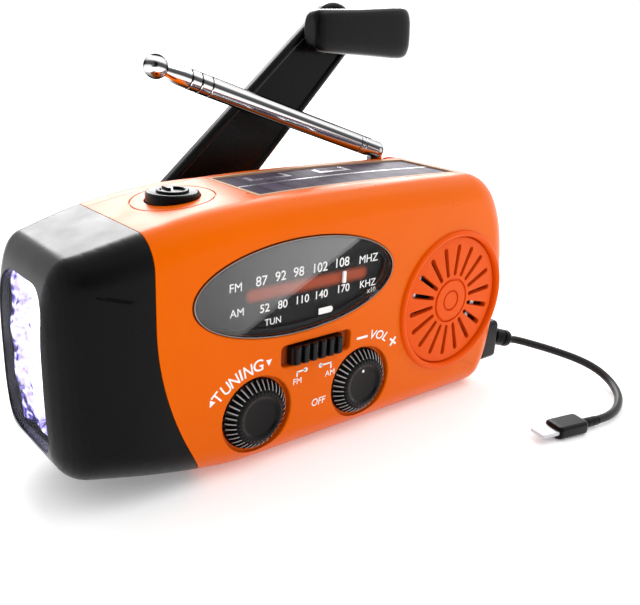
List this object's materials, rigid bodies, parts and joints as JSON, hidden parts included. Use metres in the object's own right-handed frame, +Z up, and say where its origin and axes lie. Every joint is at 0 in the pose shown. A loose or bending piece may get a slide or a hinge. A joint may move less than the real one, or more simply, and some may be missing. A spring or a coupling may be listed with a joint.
{
  "type": "emergency radio",
  "caption": "Hand-crank and solar emergency radio with a torch nose, oval tuning dial, round speaker grille, telescopic antenna and a plugged-in charging lead.",
  "frame": {"origin": "middle of the case's underside", "axes": "+X towards the speaker and socket end, -X towards the torch nose, +Y to the rear where the crank is, +Z up"},
  "size_m": [0.1864, 0.1063, 0.1224],
  "materials": {
    "case_orange": "smooth satin moulded",
    "grille_orange": "satin moulded",
    "black_plastic": "fine moulded grain",
    "gloss_black": "polished",
    "smoked_window": "polished, smoked",
    "lens_clear": "clear, polished",
    "reflector_metal": "vacuum plated, violet tint",
    "led_white": "clear diffused",
    "dial_print": "printed",
    "pointer_white": "moulded",
    "solar_cells": "laminated cells",
    "bezel_light": "printed edge",
    "antenna_chrome": "polished",
    "steel": "plain",
    "brass": "machined",
    "nylon": "moulded nylon",
    "board_green": "solder mask",
    "battery_wrap": "shrink wrap",
    "ferrite": "sintered",
    "cone_paper": "pressed paper",
    "cable_rubber": "satin moulded"
  },
  "bodies": {
    "case": {"front_shell": "case_orange", "rear_shell": "case_orange", "nose_cap": "black_plastic", "torch_lens": "lens_clear", "torch_reflector": "reflector_metal", "torch_led_1": "led_white", "torch_led_2": "led_white", "torch_led_3": "led_white", "led_board": "board_green", "dial_window": "smoked_window", "dial_plate": "dial_print", "tuning_capacitor": "nylon", "volume_potentiometer": "steel", "band_switch": "steel", "speaker_grille": "grille_orange", "speaker_basket": "steel", "speaker_cone": "cone_paper", "speaker_magnet": "steel", "torch_switch": "steel", "solar_bezel": "bezel_light", "solar_panel": "solar_cells", "main_board": "board_green", "battery_cell": "battery_wrap", "ferrite_rod": "ferrite", "battery_door": "case_orange", "battery_door_screw": "steel", "case_screw_1": "steel", "case_screw_2": "steel", "case_screw_3": "steel", "case_screw_4": "steel", "gearbox_plate": "steel", "generator_body": "steel", "usb_socket": "steel", "usb_plug": "cable_rubber", "plug_boot": "cable_rubber", "usb_cable": "cable_rubber", "lead_boot": "cable_rubber", "lead_connector": "cable_rubber"},
    "torch_push": {"torch_button": "black_plastic"},
    "tuning": {"tuning_knob": "black_plastic"},
    "pointer": {"dial_pointer": "pointer_white"},
    "volume": {"volume_knob": "black_plastic"},
    "band": {"band_slider": "black_plastic"},
    "antenna_base": {"antenna_swivel": "antenna_chrome", "antenna_pin": "steel"},
    "antenna_lower": {"antenna_knuckle": "antenna_chrome", "antenna_tube_1": "antenna_chrome"},
    "antenna_second": {"antenna_tube_2": "antenna_chrome"},
    "antenna_third": {"antenna_tube_3": "antenna_chrome"},
    "antenna_tip": {"antenna_tube_4": "antenna_chrome"},
    "crank_rotor": {"crank_hub": "black_plastic", "crank_hinge_pin": "steel", "crank_gear": "nylon"},
    "crank_swing": {"crank_arm": "black_plastic", "crank_knob_pin": "steel"},
    "crank_grip": {"crank_knob": "gloss_black"},
    "idler": {"idler_gear": "nylon"},
    "generator_rotor": {"generator_pinion": "brass"}
  },
  "joints": [
    {"name": "crank_turn", "type": "hinge", "parent": "case", "child": "crank_rotor", "pos_m": [-0.03686, 0.02764, 0.03861], "axis": [0, 1, 0], "continuous": true},
    {"name": "idler_spin", "type": "hinge", "parent": "case", "child": "idler", "pos_m": [-0.01863, 0.0129, 0.03197], "axis": [0, 1, 0], "continuous": true},
    {"name": "generator_spin", "type": "hinge", "parent": "case", "child": "generator_rotor", "pos_m": [-0.00377, 0.0128, 0.04444], "axis": [0, 1, 0], "continuous": true},
    {"name": "crank_fold", "type": "hinge", "parent": "crank_rotor", "child": "crank_swing", "pos_m": [-0.03686, 0.02764, 0.03861], "axis": [-0.66, 0, 0.7513], "range_deg": [-4, 176]},
    {"name": "crank_knob_spin", "type": "hinge", "parent": "crank_swing", "child": "crank_grip", "pos_m": [0.0479, 0.03553, 0.11307], "axis": [-0.0524, 0.9976, -0.046], "continuous": true},
    {"name": "antenna_swivel_turn", "type": "hinge", "parent": "case", "child": "antenna_base", "pos_m": [0.05393, 0.01698, 0.07217], "axis": [0, 0, 1], "range_deg": [0, 270]},
    {"name": "antenna_tilt", "type": "hinge", "parent": "antenna_base", "child": "antenna_lower", "pos_m": [0.05393, 0.01698, 0.07624], "axis": [0, 1, 0], "range_deg": [-18.4, 71.6]},
    {"name": "antenna_slide_1", "type": "slide", "parent": "antenna_lower", "child": "antenna_second", "axis": [-0.9489, 0, 0.3156], "range_m": [0, 0.053]},
    {"name": "antenna_slide_2", "type": "slide", "parent": "antenna_second", "child": "antenna_third", "axis": [-0.9489, 0, 0.3156], "range_m": [0, 0.053]},
    {"name": "antenna_slide_3", "type": "slide", "parent": "antenna_third", "child": "antenna_tip", "axis": [-0.9489, 0, 0.3156], "range_m": [0, 0.053]},
    {"name": "torch_button_push", "type": "slide", "parent": "case", "child": "torch_push", "axis": [0, 0, -1], "range_m": [0, 0.0014], "stiffness_N_per_m": 400},
    {"name": "tuning_turn", "type": "hinge", "parent": "case", "child": "tuning", "pos_m": [-0.02192, -0.02541, 0.01571], "axis": [0, 1, 0], "range_deg": [-270, 6]},
    {"name": "pointer_travel", "type": "slide", "parent": "case", "child": "pointer", "axis": [1, 0, 0], "range_m": [-0.0286, 0.00097]},
    {"name": "volume_turn", "type": "hinge", "parent": "case", "child": "volume", "pos_m": [0.01562, -0.02541, 0.01571], "axis": [0, 1, 0], "range_deg": [0, 280]},
    {"name": "band_select", "type": "slide", "parent": "case", "child": "band", "axis": [1, 0, 0], "range_m": [-0.0025, 0.0034]}
  ],
  "couplings": [
    {"joint": "idler_spin", "follows": "crank_turn", "ratio": -3},
    {"joint": "generator_spin", "follows": "crank_turn", "ratio": 9},
    {"joint": "pointer_travel", "follows": "tuning_turn", "m_per_rad": 0.00597}
  ]
}
